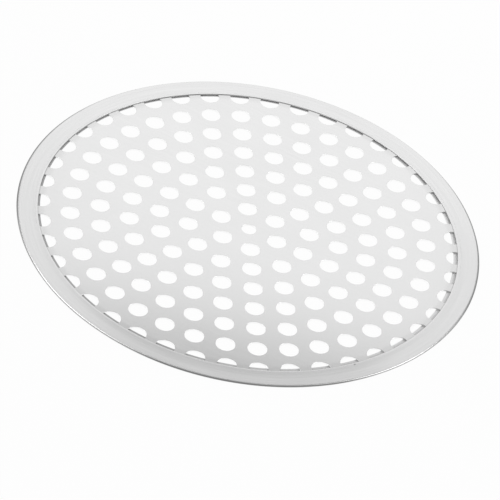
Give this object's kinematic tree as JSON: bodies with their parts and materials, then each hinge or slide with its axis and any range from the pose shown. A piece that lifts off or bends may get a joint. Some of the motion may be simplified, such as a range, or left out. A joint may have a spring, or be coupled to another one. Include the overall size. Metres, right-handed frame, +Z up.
{
  "type": "pizza pan",
  "caption": "Flat round perforated pizza pan: a punched aluminium disc held in a narrow folded rim band.",
  "frame": {"origin": "on the surface that the pan rests on, below the middle of the disc", "axes": "+Z up out of the food side of the disc; a straight radial row of vent holes lies along +X"},
  "size_m": [0.3048, 0.3048, 0.0022],
  "materials": {
    "disc_aluminium": "satin rolled sheet",
    "band_aluminium": "satin, with faint lines along the rim"
  },
  "bodies": {
    "root": {"perforated_disc": "disc_aluminium", "rim_band": "band_aluminium"}
  },
  "joints": []
}
